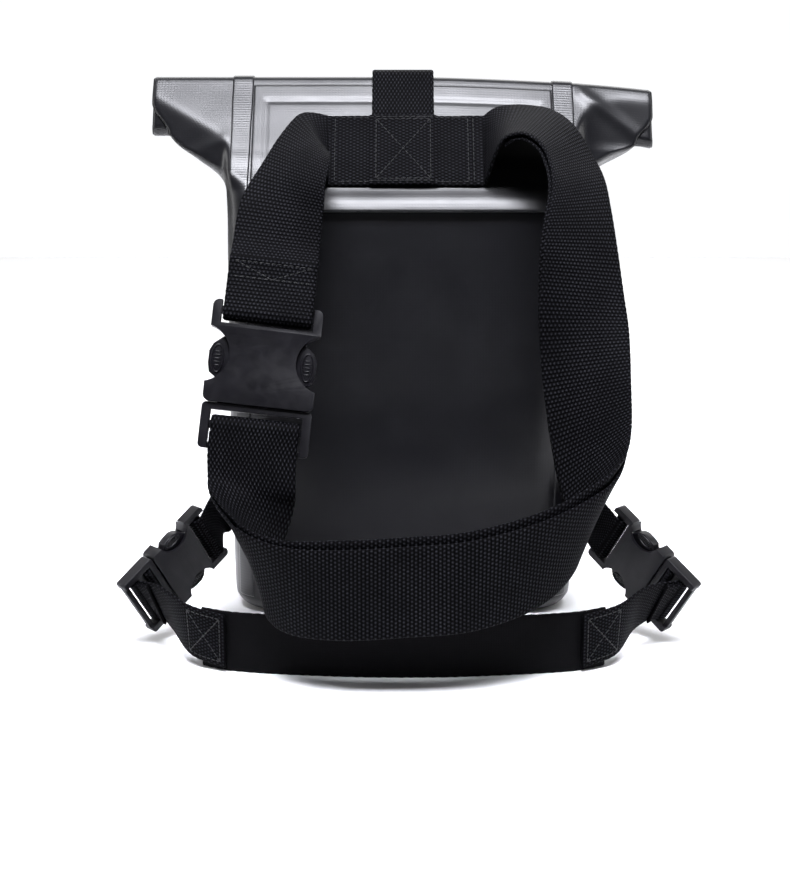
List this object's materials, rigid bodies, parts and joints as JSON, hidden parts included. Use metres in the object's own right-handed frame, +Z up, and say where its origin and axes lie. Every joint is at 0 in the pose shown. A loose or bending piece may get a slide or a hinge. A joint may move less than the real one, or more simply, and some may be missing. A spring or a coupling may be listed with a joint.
{
  "type": "dry bag",
  "caption": "Roll-top dry bag worn on hip and thigh, with welded shell, waist belt, leg strap and side-release buckles.",
  "frame": {"origin": "middle of the flat base, on the ground", "axes": "+Z up along the bag, -Y out of the back panel towards the wearer, +X along the rolled mouth"},
  "size_m": [0.2702, 0.2072, 0.2667],
  "materials": {
    "coated_fabric": "glossy coated",
    "webbing": "woven matt",
    "elastic": "woven matt, fine ribs",
    "buckle_plastic": "fine matt moulding",
    "stiffener_plastic": "matt"
  },
  "bodies": {
    "root": {"back_panel": "coated_fabric", "back_patch": "coated_fabric", "base_panel": "coated_fabric", "belt_band": "webbing", "belt_buckle_socket": "buckle_plastic", "belt_strap_left": "webbing", "belt_strap_main": "webbing", "belt_tail": "webbing", "closure_buckle_socket": "buckle_plastic", "closure_strap": "webbing", "closure_tab": "webbing", "front_panel": "coated_fabric", "leg_elastic": "elastic", "leg_left_buckle_socket": "buckle_plastic", "leg_right_buckle_socket": "buckle_plastic", "leg_tab_left": "webbing", "leg_tab_right": "webbing", "neck": "coated_fabric", "roll_stiffener": "stiffener_plastic", "roll_top": "coated_fabric", "seam_tape_left": "coated_fabric", "seam_tape_right": "coated_fabric", "side_gusset_left": "coated_fabric", "side_gusset_right": "coated_fabric"},
    "belt_plug": {"belt_buckle_plug": "buckle_plastic", "belt_turn_left": "webbing"},
    "belt_latch_left": {"belt_latch_left": "buckle_plastic"},
    "belt_latch_right": {"belt_latch_right": "buckle_plastic"},
    "closure_plug": {"closure_buckle_plug": "buckle_plastic", "closure_run": "webbing"},
    "closure_latch_left": {"closure_latch_left": "buckle_plastic"},
    "closure_latch_right": {"closure_latch_right": "buckle_plastic"},
    "leg_left_plug": {"leg_left_buckle_plug": "buckle_plastic", "leg_webbing_left": "webbing"},
    "leg_left_latch_left": {"leg_left_latch_left": "buckle_plastic"},
    "leg_left_latch_right": {"leg_left_latch_right": "buckle_plastic"},
    "leg_right_plug": {"leg_right_buckle_plug": "buckle_plastic", "leg_webbing_right": "webbing"},
    "leg_right_latch_left": {"leg_right_latch_left": "buckle_plastic"},
    "leg_right_latch_right": {"leg_right_latch_right": "buckle_plastic"}
  },
  "joints": [
    {"name": "belt_release", "type": "slide", "parent": "root", "child": "belt_plug", "axis": [-0.1099, -0.2399, -0.9646], "range_m": [0, 0.03], "deforming": ["belt_latch_left", "belt_latch_right", "belt_turn_left"]},
    {"name": "belt_squeeze_left", "type": "hinge", "parent": "belt_plug", "child": "belt_latch_left", "pos_m": [-0.07807, -0.09407, 0.11968], "axis": [-0.0563, 0.9704, -0.2349], "range_deg": [0, 10], "stiffness_Nm_per_rad": 0.05},
    {"name": "belt_squeeze_right", "type": "hinge", "parent": "belt_plug", "child": "belt_latch_right", "pos_m": [-0.05287, -0.09335, 0.11663], "axis": [0.0563, -0.9704, 0.2349], "range_deg": [0, 10], "stiffness_Nm_per_rad": 0.05},
    {"name": "closure_release", "type": "slide", "parent": "root", "child": "closure_plug", "axis": [0, 0, 1], "range_m": [0, 0.0233], "deforming": ["closure_latch_left", "closure_latch_right", "closure_run"]},
    {"name": "closure_squeeze_left", "type": "hinge", "parent": "closure_plug", "child": "closure_latch_left", "pos_m": [-0.00975, 0.0472, 0.12707], "axis": [0, -1, 0], "range_deg": [0, 10], "stiffness_Nm_per_rad": 0.05},
    {"name": "closure_squeeze_right", "type": "hinge", "parent": "closure_plug", "child": "closure_latch_right", "pos_m": [0.00975, 0.0472, 0.12707], "axis": [0, 1, 0], "range_deg": [0, 10], "stiffness_Nm_per_rad": 0.05},
    {"name": "leg_left_release", "type": "slide", "parent": "root", "child": "leg_left_plug", "axis": [-0.6005, -0.5704, -0.5604], "range_m": [0, 0.0208], "deforming": ["leg_left_latch_left", "leg_left_latch_right", "leg_webbing_left"]},
    {"name": "leg_left_squeeze_left", "type": "hinge", "parent": "leg_left_plug", "child": "leg_left_latch_left", "pos_m": [-0.11598, -0.08026, 0.03796], "axis": [-0.718, 0.6931, 0.0637], "range_deg": [0, 10], "stiffness_Nm_per_rad": 0.05},
    {"name": "leg_left_squeeze_right", "type": "hinge", "parent": "leg_left_plug", "child": "leg_left_latch_right", "pos_m": [-0.11002, -0.0728, 0.02397], "axis": [0.718, -0.6931, -0.0637], "range_deg": [0, 10], "stiffness_Nm_per_rad": 0.05},
    {"name": "leg_right_release", "type": "slide", "parent": "root", "child": "leg_right_plug", "axis": [0.6005, -0.5704, -0.5604], "range_m": [0, 0.0208], "deforming": ["leg_right_latch_left", "leg_right_latch_right", "leg_webbing_right"]},
    {"name": "leg_right_squeeze_left", "type": "hinge", "parent": "leg_right_plug", "child": "leg_right_latch_left", "pos_m": [0.11502, -0.0728, 0.02397], "axis": [0.718, 0.6931, 0.0637], "range_deg": [0, 10], "stiffness_Nm_per_rad": 0.05},
    {"name": "leg_right_squeeze_right", "type": "hinge", "parent": "leg_right_plug", "child": "leg_right_latch_right", "pos_m": [0.12098, -0.08026, 0.03796], "axis": [-0.718, -0.6931, -0.0637], "range_deg": [0, 10], "stiffness_Nm_per_rad": 0.05}
  ]
}
